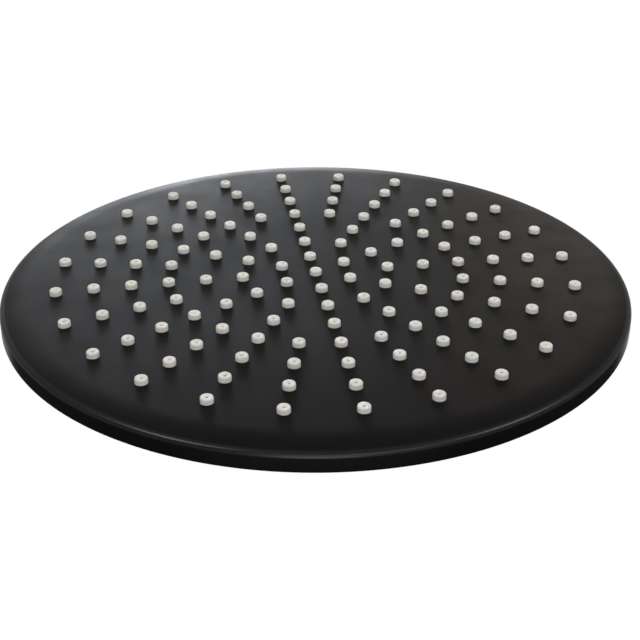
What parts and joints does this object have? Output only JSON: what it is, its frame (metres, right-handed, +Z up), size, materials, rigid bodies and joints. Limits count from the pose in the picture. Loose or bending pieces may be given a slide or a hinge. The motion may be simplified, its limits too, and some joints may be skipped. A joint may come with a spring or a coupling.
{
  "type": "rain shower head",
  "caption": "Round rain shower head: thin crowned disc with pale soft nozzles on its spray face, and a swivelling ball joint with a threaded inlet on its back.",
  "frame": {"origin": "centre of the inlet's mouth, at the top of the ball joint's socket", "axes": "+Z up along the head's axis, out of the inlet; the spray face looks down, along -Z; one spoke of nozzles lies on the Y axis"},
  "size_m": [0.25, 0.25, 0.0647],
  "materials": {
    "black_body": "satin black",
    "silicone": "matte pale grey silicone",
    "inner_plastic": "plain grey moulding",
    "slip_plastic": "natural slippery plastic",
    "steel": "bright steel",
    "black_metal": "satin black coating",
    "brass": "turned brass",
    "seal_rubber": "black rubber"
  },
  "bodies": {
    "connector": {"ball_stem": "black_metal", "filter_washer": "seal_rubber", "filter_screen": "steel", "flow_regulator": "inner_plastic", "regulator_ring": "seal_rubber"},
    "slip_ring": {"ball_liner": "slip_plastic"},
    "seat": {"seat_ring": "slip_plastic", "ball_seal": "seal_rubber"},
    "head": {"spray_plate": "black_body", "nozzle_mat": "silicone", "clamp_plate": "inner_plastic", "plate_screws": "steel", "rim_seal": "seal_rubber", "back_cover": "black_body", "spigot": "brass", "spigot_gasket": "seal_rubber", "spigot_nut": "black_metal", "collar_nut": "black_metal"}
  },
  "joints": [
    {"name": "tilt_x", "type": "hinge", "parent": "connector", "child": "slip_ring", "pos_m": [0, 0, -0.03396], "axis": [1, 0, 0], "range_deg": [-15, 15]},
    {"name": "tilt_y", "type": "hinge", "parent": "slip_ring", "child": "seat", "pos_m": [0, 0, -0.03396], "axis": [0, 1, 0], "range_deg": [-15, 15]},
    {"name": "spin", "type": "hinge", "parent": "seat", "child": "head", "pos_m": [0, 0, -0.03396], "axis": [0, 0, 1], "continuous": true}
  ]
}
